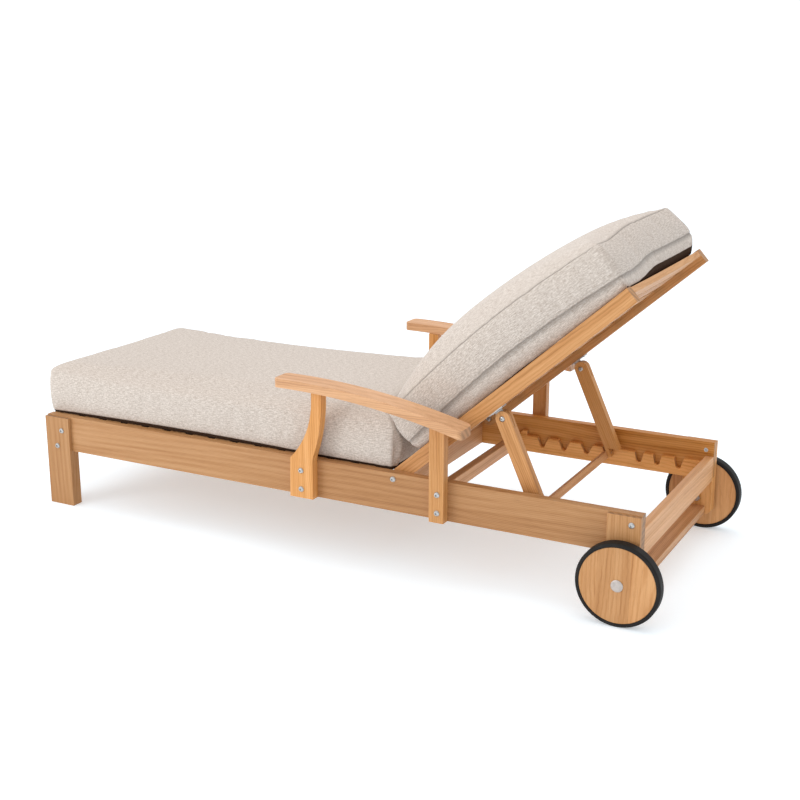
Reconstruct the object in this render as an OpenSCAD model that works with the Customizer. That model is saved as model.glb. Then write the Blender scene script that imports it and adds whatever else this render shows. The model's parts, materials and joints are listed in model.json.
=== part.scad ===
// Reclining garden lounger: a teak frame on two legs and two wheels, with fixed
// armrests, a hinged backrest held up by a swinging prop, and two thick cushions.
// X runs from the foot end to the wheel (head) end, Y across, Z up. The origin is
// on the ground under the middle of the lounger. Right is +Y, left is -Y.

/* [Frame] */
// Length of the side rails
rail_len = 2000; // [1900:10:2100]
// Width across the outer faces of the side rails
frame_w = 726; // [700:2:760]
// Height of the top of the side rails above the ground
rail_top = 299; // [290:1:320]
// Height of the side rails' boards
rail_h = 114; // [108:1:120]
// Thickness of the side rails' boards
rail_t = 27; // [24:1:30]
// How far the legs stand out from the rails
leg_lip = 12.5; // [8:0.5:16]
// Width of the foot legs along the rail
foot_leg_w = 94; // [80:1:105]
// Width of the wheel legs along the rail
wheel_leg_w = 92; // [80:1:100]
// Height of the wheel legs' lower ends above the ground
wheel_leg_z = 68; // [60:1:75]
// Height of the board between the side rails at the wheel end
head_rail_h = 78; // [60:1:84]
// Thickness of the boards across the two ends
end_rail_t = 25; // [20:1:28]

/* [Seat] */
// Number of seat slats
seat_slats = 14; // [10:1:15]
// Width of a seat slat
slat_w = 60; // [45:1:64]
// Thickness of a seat slat
slat_t = 16; // [12:1:20]

/* [Backrest] */
// Angle of the backrest above the seat as it stands
back_angle = 41.5; // [40:0.1:43]
// Distance of the backrest pivot from the foot end
pivot_x = 1268.5; // [1265:0.5:1275]
// Height of the backrest pivot
pivot_z = 281; // [279:1:283]
// Length of a backrest stile from its pivot to its upper end
stile_len = 887; // [860:1:920]
// Depth of a backrest stile
stile_h = 44; // [42:1:44]
// Thickness of a backrest stile
stile_t = 28; // [26:1:30]
// Number of backrest slats
back_slats = 9; // [7:1:9]

/* [Prop] */
// Distance along the stile from the backrest pivot to the prop pivot
prop_at = 371; // [365:1:377]
// Drop of the prop pivot below the stile's centre line
prop_drop = 50; // [50:1:54]
// Tilt of the prop arms from the vertical as it stands
prop_tilt = 24.3; // [23:0.1:25]
// Width of a prop arm
prop_arm_w = 43; // [38:1:43]
// Thickness of a prop arm
prop_arm_t = 25; // [20:1:25]

/* [Racks] */
// Thickness of the notched racks
rack_t = 17.5; // [14:0.5:17.5]
// Height of the racks' teeth above the bottom of the side rail
rack_h = 53.5; // [50:0.5:56]
// Depth of the notches
notch_depth = 31.5; // [28:0.5:33]

/* [Armrests] */
// Width of an armrest board
arm_w = 72; // [65:1:80]
// Thickness of an armrest board
arm_t = 26; // [24:1:30]
// Height of the highest point of the armrests
arm_top = 553; // [545:1:560]
// Thickness of the posts under the armrests
post_t = 28; // [24:1:30]

/* [Wheels] */
// Outer radius of the tyres
tyre_r = 117; // [112:1:117]
// Radius of the wooden wheel discs
disc_r = 106; // [100:1:108]
// Width of a tyre
tyre_w = 34; // [30:1:34]
// Distance of the axle from the foot end
axle_x = 1957.5; // [1950:0.5:1960]
// Diameter of the axle bolts
axle_d = 12; // [10:0.5:12]

/* [Cushions] */
// Length of the seat cushion
seat_cushion_len = 1240; // [1200:5:1245]
// Width of the cushions
cushion_w = 660; // [600:5:664]
// Thickness of the seat cushion
seat_cushion_t = 150; // [120:1:152]
// Thickness of the back cushion at the small of the back
back_cushion_t = 222; // [170:1:225]

/* [Hidden] */
$fn = 64;

teak = "peru";
teak_light = "burlywood";
steel = "silver";
rubber = "dimgray";
canvas = "tan";

// Places worked out from the driving dimensions
overall_len = axle_x + tyre_r;
foot_x = -overall_len / 2;
rail_out = frame_w / 2;
rail_in = rail_out - rail_t;
leg_out = rail_out + leg_lip;
rail_bottom = rail_top - rail_h;
lip_top = rail_top - 3;
head_rail_z = 177;
cross_rail_t = 27;
seat_end_x = 1232;
rack_start = 1355;
rack_end_rail_h = 40;
seat_end_rail_h = 72;
fit_gap = 0.05;
side_gap = 3;

// Seat slats sit on the ledgers, their tops just below the rails
slat_top = rail_top - 1;
ledger_t = 20;
ledger_h = 28;
first_slat_x = 42;
last_slat_x = 1140;
slat_side_gap = 0.5;

// Backrest frame, drawn lying flat from its pivot along +X, then turned up
stile_out = rail_in - side_gap;
stile_in = stile_out - stile_t;
stile_r = stile_h / 2;
back_slat_t = 18;
back_slat_w = 58;
back_slat_drop = 2;
first_back_slat = 70;
crest_w = 80;
crest_sag = 9;

// Prop pivot in the same flat frame, and the prop drawn hanging straight down
prop_out = rail_in - rack_t - 2;
prop_in = prop_out - prop_arm_t;
prop_mid = (prop_out + prop_in) / 2;
prop_half = prop_arm_w / 2;
prop_offset = 1.8;
bar_w = 18;
bar_h = 20;
bar_at = 282;
tongue_t = 11;
foot_at = 268;
lug_t = 3;
lug_slot = 4;
plate_t = 3;
plate_len = 50;
plate_shift = 6;
lug_r = 12;
prop_pin_d = 8;
prop_head_d = 15;
prop_head_h = 3.2;
head_recess_d = 17;
head_recess = 3.2;
hinge_screw_y = 321;
hinge_screw_x = 16;

// Racks
tooth_z = rail_bottom + rack_h;
notch_x = [1450, 1523.5, 1599.5, 1670, 1771, 1829, 1897];
notch_w = [38, 40, 42, 38, 28, 26, 30];
notch_r = 8.5;
cradle_x = 1353;
cradle_r = 32;
block_end = 1396;
block_h = 16;

// Armrest and post places along the frame
front_post_x = 942;
front_post_w = 78;
front_post_top_w = 34;
rear_post_x = 1396;
rear_post_w = 45;
arm_x = 926;
arm_len = 590;
arm_peak_x = 952;
arm_r = 2184;
arm_in = 370;
arm_corner = 14;
knee_z = rail_top + 5;
front_arc_r = 255;

// Wheels
wheel_in = 386.5;
wheel_out = wheel_in + tyre_w;
disc_in = wheel_in + 3;
disc_out = wheel_out - 1;
glue_lines = [-57, 35];
bush_d = 20;
recess_d = 30;
recess_depth = 11;
cap_d = 34;
cap_rim_h = 1.5;
cap_dome_h = 2;
axle_head_d = 22;
axle_head_h = 6;
spacer_d = 24;
nut_d = 20;
nut_h = 9;
wheel_gap = 0.4;

// Bolts: pan heads outside, shanks in drilled holes
bolt_d = 8;
bolt_head_d = 17;
bolt_head_h = 4.5;
socket_share = 0.46;
leg_bolts_at = [[65, 253], [44, 200], [1975, 273]];
// The wheel legs' bolts end in a barrel nut, let in flush with the rail's inner side
barrel_at = leg_bolts_at[2];
barrel_d = 13;
barrel_len = 12;
post_bolts_at = [[980.5, 269], [980.5, 212], [1421, 268], [1421, 214]];
post_bolt_len = 48;
pivot_bolt_d = 10;
pivot_head_d = 17;
pivot_head_h = 4.5;
dome_nut_d = 17;
dome_nut_h = 8;

// Moves children from the foot end's zero to the lounger's own frame
module from_foot() {
    translate([foot_x, 0, 0]) children();
}

// The left-hand copy of a right-hand piece
module left_side() {
    mirror([0, 1, 0]) children();
}

// A box given by its lowest corner and its highest corner
module block(low, high) {
    translate(low) cube(high - low);
}

// Extrudes an outline drawn in X and Z across Y, from y0 to y1
module across(y0, y1) {
    translate([0, y1, 0]) rotate([90, 0, 0]) linear_extrude(y1 - y0) children();
}

// A rod along Y from y0 to y1
module rod(x, z, y0, y1, d) {
    translate([x, y1, z]) rotate([90, 0, 0]) cylinder(d = d, h = y1 - y0);
}

// A pan head whose flat side is at y and whose crown points to +Y
module pan_head(x, z, y, d, h) {
    translate([x, y, z]) rotate([-90, 0, 0]) difference() {
        rotate_extrude()
            polygon([[0, 0], [d / 2, 0], [d / 2, h * 0.35], [d * 0.38, h * 0.85],
                     [d * 0.2, h], [0, h]]);
        translate([0, 0, h * 0.3]) cylinder(d = d * socket_share, h = h, $fn = 6);
    }
}

// Puts flat backrest pieces at the pivot, at the angle they stand
module on_back() {
    from_foot() translate([pivot_x, 0, pivot_z]) rotate([0, -back_angle, 0]) children();
}

// Puts a prop drawn hanging down from its own pivot where it stands
module on_prop() {
    on_back() translate([prop_at, 0, -prop_drop]) rotate([0, back_angle, 0])
        rotate([0, -prop_tilt, 0]) children();
}

// Points on an arc, for outlines
function arc(cx, cz, r, a0, a1, n) =
    [for (i = [0 : n]) [cx + r * cos(a0 + (a1 - a0) * i / n),
                        cz + r * sin(a0 + (a1 - a0) * i / n)]];

module leg_bolt_holes(x_low, x_high) {
    for (b = leg_bolts_at)
        if (b[0] > x_low && b[0] < x_high)
            rod(b[0], b[1], rail_in - 1, leg_out + 1, bolt_d);
}

module post_bolt_holes() {
    for (b = post_bolts_at)
        rod(b[0], b[1], rail_out + post_t - post_bolt_len, rail_out + post_t + 1, bolt_d);
}

module side_rail() {
    from_foot() difference() {
        block([0, rail_in, rail_bottom], [rail_len, rail_out, rail_top]);
        leg_bolt_holes(0, rail_len);
        rod(barrel_at[0], barrel_at[1], rail_in - 1, rail_in + barrel_len, barrel_d);
        post_bolt_holes();
        rod(pivot_x, pivot_z, rail_in - 1, rail_out + 1, pivot_bolt_d);
    }
}
module side_rail_left() { color(teak) left_side() side_rail(); }
module side_rail_right() { color(teak) side_rail(); }

// The leg stands outside the rail as a thin lip and is full thickness below it
module foot_leg() {
    from_foot() difference() {
        union() {
            block([0, rail_in, 0], [foot_leg_w, leg_out, rail_bottom]);
            block([0, rail_out, rail_bottom], [foot_leg_w, leg_out, lip_top]);
        }
        leg_bolt_holes(0, foot_leg_w);
    }
}
module foot_leg_left() { color(teak) left_side() foot_leg(); }
module foot_leg_right() { color(teak) foot_leg(); }

module wheel_leg() {
    x0 = rail_len - wheel_leg_w;
    cut = 9;
    from_foot() difference() {
        union() {
            across(rail_in, leg_out)
                polygon([[x0 + cut, wheel_leg_z], [rail_len - cut, wheel_leg_z],
                         [rail_len, wheel_leg_z + cut], [rail_len, rail_bottom],
                         [x0, rail_bottom], [x0, wheel_leg_z + cut]]);
            block([x0, rail_out, rail_bottom], [rail_len, leg_out, lip_top]);
        }
        leg_bolt_holes(x0, rail_len);
        rod(axle_x, tyre_r, rail_in - 1, leg_out + 1, axle_d);
    }
}
module wheel_leg_left() { color(teak) left_side() wheel_leg(); }
module wheel_leg_right() { color(teak) wheel_leg(); }

module foot_rail() {
    color(teak) from_foot()
        block([0, -rail_in, rail_bottom], [end_rail_t, rail_in, slat_top]);
}

module head_rail() {
    color(teak) from_foot()
        block([rail_len - end_rail_t, -rail_in, head_rail_z],
              [rail_len, rail_in, head_rail_z + head_rail_h]);
}

// A flat board between the wheel legs, just under the axle bolts
module wheel_stretcher() {
    stretcher_w = 60;
    stretcher_t = 25;
    color(teak) from_foot()
        block([rail_len - 17 - stretcher_w, -rail_in, wheel_leg_z + 1],
              [rail_len - 17, rail_in, wheel_leg_z + 1 + stretcher_t]);
}

module seat_end_rail() {
    color(teak) from_foot()
        block([seat_end_x - cross_rail_t, -rail_in, rail_bottom],
              [seat_end_x, rail_in, rail_bottom + seat_end_rail_h]);
}

module rack_end_rail() {
    color(teak) from_foot()
        block([rack_start - cross_rail_t, -rail_in, rail_bottom],
              [rack_start, rail_in, rail_bottom + rack_end_rail_h]);
}

module seat_ledger() {
    from_foot() difference() {
        block([end_rail_t, rail_in - ledger_t, slat_top - slat_t - ledger_h],
              [seat_end_x - cross_rail_t, rail_in, slat_top - slat_t]);
        post_bolt_holes();
        leg_bolt_holes(0, foot_leg_w);
    }
}
module seat_ledger_left() { color(teak) left_side() seat_ledger(); }
module seat_ledger_right() { color(teak) seat_ledger(); }

module seat_slat_set() {
    step = (last_slat_x - first_slat_x) / (seat_slats - 1);
    half = rail_in - slat_side_gap;
    color(teak_light) from_foot() for (i = [0 : seat_slats - 1])
        block([first_slat_x + i * step, -half, slat_top - slat_t],
              [first_slat_x + i * step + slat_w, half, slat_top]);
}

module notch_outline(x, w) {
    translate([x, tooth_z - notch_depth + notch_r]) circle(r = notch_r);
    polygon([[x - w / 2, tooth_z + 1], [x - notch_r, tooth_z - notch_depth + notch_r],
             [x + notch_r, tooth_z - notch_depth + notch_r], [x + w / 2, tooth_z + 1]]);
}

// Seven notches for the prop bar, and a hollowed stop block at the foot end
module rack() {
    from_foot() across(rail_in - rack_t, rail_in) difference() {
        union() {
            translate([rack_start, rail_bottom])
                square([rail_len - end_rail_t - rack_start, rack_h]);
            translate([rack_start, tooth_z - 1]) square([block_end - rack_start, block_h + 1]);
        }
        for (i = [0 : len(notch_x) - 1]) notch_outline(notch_x[i], notch_w[i]);
        translate([cradle_x, tooth_z + cradle_r]) circle(r = cradle_r);
    }
}
module rack_left() { color(teak) left_side() rack(); }
module rack_right() { color(teak) rack(); }

// The top of the armrest's curve above a place along the frame
function arm_under_z(x) =
    arm_top - arm_r + sqrt(pow(arm_r - arm_t, 2) - pow(x - arm_peak_x, 2));

// Wide at the rail and narrow at the armrest, with a knee just above the rail
module front_post() {
    x1 = front_post_x + front_post_w;
    top_x1 = x1 + 33;
    s_z = knee_z - 6;
    s_r1 = 60;
    s_r2 = 515;
    s_a = 19.5;
    front_edge = arc(top_x1 - front_post_top_w - front_arc_r, knee_z + front_arc_r * sin(45),
                     front_arc_r, -45, 0, 10);
    back_low = arc(x1 + s_r1, s_z, s_r1, 180, 180 - s_a, 5);
    back_high = arc(top_x1 - s_r2, s_z + (s_r1 + s_r2) * sin(s_a), s_r2, -s_a, 0, 8);
    from_foot() difference() {
        across(rail_out, rail_out + post_t)
            polygon(concat([[front_post_x, rail_bottom]], front_edge,
                           [[top_x1 - front_post_top_w, arm_under_z(top_x1 - front_post_top_w)],
                            [top_x1, arm_under_z(top_x1)]],
                           [for (i = [len(back_high) - 1 : -1 : 1]) back_high[i]],
                           [for (i = [len(back_low) - 1 : -1 : 0]) back_low[i]],
                           [[x1, rail_bottom]]));
        post_bolt_holes();
    }
}
module arm_front_post_left() { color(teak) left_side() front_post(); }
module arm_front_post_right() { color(teak) front_post(); }

module rear_post() {
    x1 = rear_post_x + rear_post_w;
    from_foot() difference() {
        across(rail_out, rail_out + post_t)
            polygon([[rear_post_x, rail_bottom], [x1, rail_bottom], [x1, arm_under_z(x1)],
                     [rear_post_x, arm_under_z(rear_post_x)]]);
        post_bolt_holes();
    }
}
module arm_rear_post_left() { color(teak) left_side() rear_post(); }
module arm_rear_post_right() { color(teak) rear_post(); }

// A slice of a wide ring, rounded at its corners
module armrest() {
    from_foot() intersection() {
        difference() {
            rod(arm_peak_x, arm_top - arm_r, arm_in - 1, arm_in + arm_w + 1, 2 * arm_r, $fn = 720);
            rod(arm_peak_x, arm_top - arm_r, arm_in - 2, arm_in + arm_w + 2,
                2 * (arm_r - arm_t), $fn = 720);
        }
        translate([0, 0, arm_top - 200]) linear_extrude(220) union() {
            translate([arm_x + arm_corner, arm_in]) square([arm_len - 2 * arm_corner, arm_w]);
            translate([arm_x, arm_in + arm_corner]) square([arm_len, arm_w - 2 * arm_corner]);
            for (x = [arm_x + arm_corner, arm_x + arm_len - arm_corner])
                for (y = [arm_in + arm_corner, arm_in + arm_w - arm_corner])
                    translate([x, y]) circle(r = arm_corner);
        }
    }
}
module armrest_left() { color(teak_light) left_side() armrest(); }
module armrest_right() { color(teak_light) armrest(); }

module both_sides() {
    children();
    left_side() children();
}

module barrel_nut(x, z) {
    difference() {
        rod(x, z, rail_in, rail_in + barrel_len, barrel_d);
        translate([x, rail_in - 1, z]) rotate([-90, 0, 0])
            cylinder(d = barrel_d * socket_share, h = barrel_len / 2 - 1, $fn = 6);
    }
}

module leg_bolts() {
    color(steel) both_sides() from_foot() for (b = leg_bolts_at) {
        rod(b[0], b[1], b == barrel_at ? rail_in + barrel_len / 2 : rail_in, leg_out, bolt_d);
        pan_head(b[0], b[1], leg_out, bolt_head_d, bolt_head_h);
        if (b == barrel_at) barrel_nut(b[0], b[1]);
    }
}

module post_bolts() {
    color(steel) both_sides() from_foot() for (b = post_bolts_at) {
        rod(b[0], b[1], rail_out + post_t - post_bolt_len, rail_out + post_t, bolt_d);
        pan_head(b[0], b[1], rail_out + post_t, bolt_head_d, bolt_head_h);
    }
}

// The backrest turns on these, through the rails and the stiles
module back_pivot_bolts() {
    color(steel) both_sides() from_foot() {
        rod(pivot_x, pivot_z, stile_in - 1, rail_out, pivot_bolt_d);
        pan_head(pivot_x, pivot_z, rail_out, pivot_head_d, pivot_head_h);
        mirror([0, 1, 0]) pan_head(pivot_x, pivot_z, 1 - stile_in, dome_nut_d, dome_nut_h);
    }
}

module axle_bolt() {
    head_in = disc_out - recess_depth + wheel_gap;
    from_foot() {
        rod(axle_x, tyre_r, rail_in - nut_h - 2, head_in, axle_d);
        rod(axle_x, tyre_r, head_in, head_in + axle_head_h, axle_head_d);
    }
}
module axle_bolt_left() { color(steel) left_side() axle_bolt(); }
module axle_bolt_right() { color(steel) axle_bolt(); }

module axle_spacers() {
    color(steel) both_sides() from_foot() difference() {
        rod(axle_x, tyre_r, leg_out, disc_in - wheel_gap, spacer_d);
        rod(axle_x, tyre_r, leg_out - 1, disc_in, axle_d);
    }
}

module axle_nuts() {
    color(steel) both_sides() from_foot() difference() {
        translate([axle_x, rail_in, tyre_r]) rotate([90, 0, 0])
            cylinder(d = nut_d, h = nut_h, $fn = 6);
        rod(axle_x, tyre_r, rail_in - nut_h - 1, rail_in + 1, axle_d);
    }
}

// Boards glued edge to edge and turned to a disc
module wheel_disc() {
    edges = concat([-disc_r - 1], glue_lines, [disc_r + 1]);
    from_foot() translate([axle_x, 0, tyre_r]) for (i = [0 : len(edges) - 2])
        difference() {
            intersection() {
                rod(0, 0, disc_in, disc_out, 2 * disc_r, $fn = 160);
                block([edges[i], disc_in - 1, -disc_r - 1],
                      [edges[i + 1], disc_out + 1, disc_r + 1]);
            }
            rod(0, 0, disc_in - 1, disc_out + 1, bush_d);
            rod(0, 0, disc_out - recess_depth, disc_out + 1, recess_d);
        }
}
module wheel_disc_left() { color(teak_light) left_side() wheel_disc(); }
module wheel_disc_right() { color(teak_light) wheel_disc(); }

module tyre() {
    edge = 5;
    from_foot() translate([axle_x, wheel_in, tyre_r]) rotate([-90, 0, 0])
        rotate_extrude($fn = 160)
            polygon([[disc_r, 0], [tyre_r - edge, 0], [tyre_r - 1.4, 1.6], [tyre_r, edge],
                     [tyre_r, tyre_w - edge], [tyre_r - 1.4, tyre_w - 1.6],
                     [tyre_r - edge, tyre_w], [disc_r, tyre_w]]);
}
module tyre_left() { color(rubber) left_side() tyre(); }
module tyre_right() { color(rubber) tyre(); }

module hub_bush() {
    from_foot() difference() {
        rod(axle_x, tyre_r, disc_in, disc_out - recess_depth, bush_d);
        rod(axle_x, tyre_r, disc_in - 1, disc_out, axle_d + 2 * fit_gap);
    }
}
module hub_bush_left() { color(steel) left_side() hub_bush(); }
module hub_bush_right() { color(steel) hub_bush(); }

module hub_cap() {
    from_foot() translate([axle_x, disc_out, tyre_r]) rotate([-90, 0, 0]) rotate_extrude()
        polygon([[0, 0], [cap_d / 2, 0], [cap_d / 2, cap_rim_h],
                 [cap_d * 0.42, cap_rim_h + cap_dome_h * 0.6],
                 [cap_d * 0.2, cap_rim_h + cap_dome_h], [0, cap_rim_h + cap_dome_h]]);
}
module hub_cap_left() { color(steel) left_side() hub_cap(); }
module hub_cap_right() { color(steel) hub_cap(); }

// Rounded at the pivot and square at the upper end
module back_stile() {
    on_back() difference() {
        union() {
            rod(0, 0, stile_in, stile_out, stile_h);
            block([0, stile_in, -stile_r], [stile_len, stile_out, stile_r]);
        }
        rod(0, 0, stile_in - 1, stile_out + 1, pivot_bolt_d + 2 * fit_gap);
        at_hinge_screws(-stile_r - plate_t) cylinder(d = 4, h = plate_t + 16);
    }
}
module back_stile_left() { color(teak_light) left_side() back_stile(); }
module back_stile_right() { color(teak_light) back_stile(); }

module back_slat_set() {
    last = stile_len - crest_w - back_slat_w - 14;
    step = (last - first_back_slat) / (back_slats - 1);
    top = stile_r - back_slat_drop;
    color(teak_light) on_back() for (i = [0 : back_slats - 1])
        block([first_back_slat + i * step, -stile_in, top - back_slat_t],
              [first_back_slat + i * step + back_slat_w, stile_in, top]);
}

// The widest slat, flush with the stiles' ends, with a shallow hollow in its upper edge
module crest_rail() {
    half = stile_in;
    top = stile_r - back_slat_drop;
    r = (half * half + crest_sag * crest_sag) / (2 * crest_sag);
    color(teak_light) on_back() difference() {
        block([stile_len - crest_w, -half, top - back_slat_t], [stile_len, half, top]);
        translate([stile_len - crest_sag + r, 0, top - back_slat_t - 1])
            cylinder(r = r, h = back_slat_t + 2, $fn = 1440);
    }
}

module at_hinge_screws(z) {
    for (x = [-hinge_screw_x, hinge_screw_x])
        translate([prop_at + plate_shift + x, hinge_screw_y, z]) children();
}

// A plate under the stile with a lug that stands in the prop arm's slot
module hinge_plate() {
    on_back() difference() {
        union() {
            block([prop_at + plate_shift - plate_len / 2, prop_mid - lug_t / 2, -stile_r - plate_t],
                  [prop_at + plate_shift + plate_len / 2, stile_out - 1, -stile_r]);
            block([prop_at - lug_r, prop_mid - lug_t / 2, -prop_drop],
                  [prop_at + lug_r, prop_mid + lug_t / 2, -stile_r]);
            rod(prop_at, -prop_drop, prop_mid - lug_t / 2, prop_mid + lug_t / 2, 2 * lug_r);
        }
        rod(prop_at, -prop_drop, prop_mid - lug_t, prop_mid + lug_t, prop_pin_d);
        at_hinge_screws(-stile_r - plate_t - 1) cylinder(d = 4, h = plate_t + 2);
    }
}
module hinge_plate_left() { color(steel) left_side() hinge_plate(); }
module hinge_plate_right() { color(steel) hinge_plate(); }

module hinge_screws() {
    color(steel) both_sides() on_back() at_hinge_screws(-stile_r - plate_t) union() {
        cylinder(d = 4, h = plate_t + 16);
        translate([0, 0, -1.2]) cylinder(d = 7, h = 1.2);
    }
}

module prop_pivot_bolts() {
    head_y = prop_out - head_recess + wheel_gap;
    color(steel) both_sides() on_back() {
        rod(prop_at, -prop_drop, prop_in - wheel_gap, head_y, prop_pin_d);
        pan_head(prop_at, -prop_drop, head_y, prop_head_d, prop_head_h);
        mirror([0, 1, 0])
            pan_head(prop_at, -prop_drop, wheel_gap - prop_in, prop_head_d, prop_head_h);
    }
}

// Drawn hanging down: round at the pivot, cut level at the foot where it stands,
// with a tongue down its foot side that the cross bar is screwed to
module prop_arm() {
    x0 = prop_offset - prop_half;
    x1 = prop_offset + prop_half;
    tongue_end = bar_at + bar_h / 2;
    on_prop() difference() {
        union() {
            rod(prop_offset, 0, prop_in, prop_out, prop_arm_w);
            across(prop_in, prop_out)
                polygon([[x0, 0], [x1, 0], [x1, -foot_at - x1 * tan(prop_tilt)],
                         [x0 + tongue_t, -foot_at - (x0 + tongue_t) * tan(prop_tilt)],
                         [x0 + tongue_t, -tongue_end], [x0, -tongue_end]]);
        }
        rod(0, 0, prop_in - 1, prop_out + 1, prop_pin_d + 2 * fit_gap);
        block([x0 - 1, prop_mid - lug_slot / 2, -34], [x1 + 1, prop_mid + lug_slot / 2, 30]);
        rod(0, 0, prop_out - head_recess, prop_out + 1, head_recess_d);
        bar_screw_holes();
    }
}
module prop_arm_left() { color(teak) left_side() prop_arm(); }
module prop_arm_right() { color(teak) prop_arm(); }

module bar_screw_holes() {
    x0 = prop_offset - prop_half;
    translate([x0 - bar_w + 4, prop_mid, -bar_at]) rotate([0, 90, 0]) union() {
        cylinder(d = 4, h = bar_w + tongue_t);
        translate([0, 0, bar_w + tongue_t - 5.5]) cylinder(d = 8, h = 5);
    }
}

module prop_bar() {
    x0 = prop_offset - prop_half;
    color(teak) on_prop() difference() {
        block([x0 - bar_w, -prop_out, -bar_at - bar_h / 2],
              [x0, prop_out, -bar_at + bar_h / 2]);
        bar_screw_holes();
        left_side() bar_screw_holes();
    }
}

module prop_bar_screws() {
    x0 = prop_offset - prop_half;
    color(steel) both_sides() on_prop() translate([0, prop_mid, -bar_at]) rotate([0, 90, 0])
        union() {
            translate([0, 0, x0 - bar_w + 4]) cylinder(d = 4, h = bar_w + tongue_t - 5);
            translate([0, 0, x0 + tongue_t - 1.5]) cylinder(d = 8, h = 1.5);
        }
}

// A plain closed block with eased ends, clear of the backrest cushion's swing
module seat_cushion() {
    z0 = slat_top;
    z1 = z0 + seat_cushion_t;
    x1 = 4 + seat_cushion_len;
    color(canvas) from_foot() across(-cushion_w / 2, cushion_w / 2)
        polygon([[14, z0], [x1, z0], [x1, z0 + 70], [x1 - 30, z1 - 24], [x1 - 100, z1],
                 [60, z1], [6, z1 - 34], [0, z0 + 50]]);
}

// Drawn lying flat on the backrest, thickest at the small of the back
module back_cushion() {
    z0 = stile_r;
    z1 = z0 + back_cushion_t;
    x1 = stile_len + 5;
    color(canvas) on_back() across(-cushion_w / 2, cushion_w / 2)
        polygon([[80, z0], [x1 - 12, z0], [x1 + 2, z0 + 50], [x1 - 4, z1 - 72],
                 [x1 - 130, z1 - 38], [x1 - 330, z1], [250, z1], [150, z1 - 40],
                 [116, z1 - 106], [84, z0 + 56]]);
}

side_rail_left();
side_rail_right();
foot_leg_left();
foot_leg_right();
wheel_leg_left();
wheel_leg_right();
foot_rail();
head_rail();
wheel_stretcher();
seat_end_rail();
rack_end_rail();
seat_ledger_left();
seat_ledger_right();
seat_slat_set();
rack_left();
rack_right();
arm_front_post_left();
arm_front_post_right();
arm_rear_post_left();
arm_rear_post_right();
armrest_left();
armrest_right();
leg_bolts();
post_bolts();
back_pivot_bolts();
axle_bolt_left();
axle_bolt_right();
axle_spacers();
axle_nuts();
wheel_disc_left();
wheel_disc_right();
tyre_left();
tyre_right();
hub_bush_left();
hub_bush_right();
hub_cap_left();
hub_cap_right();
back_stile_left();
back_stile_right();
back_slat_set();
crest_rail();
hinge_plate_left();
hinge_plate_right();
hinge_screws();
prop_pivot_bolts();
prop_arm_left();
prop_arm_right();
prop_bar();
prop_bar_screws();
seat_cushion();
back_cushion();
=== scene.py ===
"""A reclining garden lounger: its looks, its cushions, the studio and the camera."""
import json
import math

import bpy
import numpy as np
from mathutils import Euler, Matrix, Vector
from mathutils.kdtree import KDTree


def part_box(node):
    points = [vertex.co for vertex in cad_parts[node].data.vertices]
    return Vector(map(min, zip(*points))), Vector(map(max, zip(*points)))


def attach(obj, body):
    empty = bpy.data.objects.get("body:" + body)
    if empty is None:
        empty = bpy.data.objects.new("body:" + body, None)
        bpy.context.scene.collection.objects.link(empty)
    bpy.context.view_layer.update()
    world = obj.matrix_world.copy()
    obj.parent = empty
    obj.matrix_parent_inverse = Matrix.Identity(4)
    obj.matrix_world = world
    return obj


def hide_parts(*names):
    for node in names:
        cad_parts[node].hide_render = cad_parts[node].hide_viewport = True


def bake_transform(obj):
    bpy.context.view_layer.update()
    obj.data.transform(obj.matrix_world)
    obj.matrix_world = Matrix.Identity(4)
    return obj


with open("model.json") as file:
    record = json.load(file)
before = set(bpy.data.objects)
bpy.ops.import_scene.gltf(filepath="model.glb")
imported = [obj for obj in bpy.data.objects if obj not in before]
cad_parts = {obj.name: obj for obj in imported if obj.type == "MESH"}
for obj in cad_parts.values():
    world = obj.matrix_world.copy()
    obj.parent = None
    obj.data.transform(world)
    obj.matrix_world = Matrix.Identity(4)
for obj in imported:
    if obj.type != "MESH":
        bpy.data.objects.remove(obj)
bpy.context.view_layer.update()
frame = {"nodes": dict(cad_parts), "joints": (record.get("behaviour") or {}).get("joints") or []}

# ---------------------------------------------------------------- the frame
scene = bpy.context.scene
nodes = frame["nodes"]
joints = {j["name"]: j for j in frame["joints"]}
PIVOT = Vector(joints["back_recline"]["pos_m"])
BACK_ANGLE = math.radians(-joints["back_recline"]["range_deg"][0])
PROP_ANGLE = math.radians(-65.7)
FOOT_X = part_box("foot_rail")[0].x
SLAT_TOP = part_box("seat_slat_set")[1].z
AXLE = Vector(joints["wheel_left_spin"]["pos_m"])

# The seat slats along X, from the foot end
SLAT_FIRST, SLAT_WIDTH, SLAT_STEP, SLAT_LAST = 0.042, 0.060, 1.098 / 13, 1.200

# The backrest's own axes: along the stiles, across, and out of the slats
BACK = Matrix.Translation(PIVOT) @ Matrix.Rotation(-BACK_ANGLE, 4, "Y")


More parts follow.
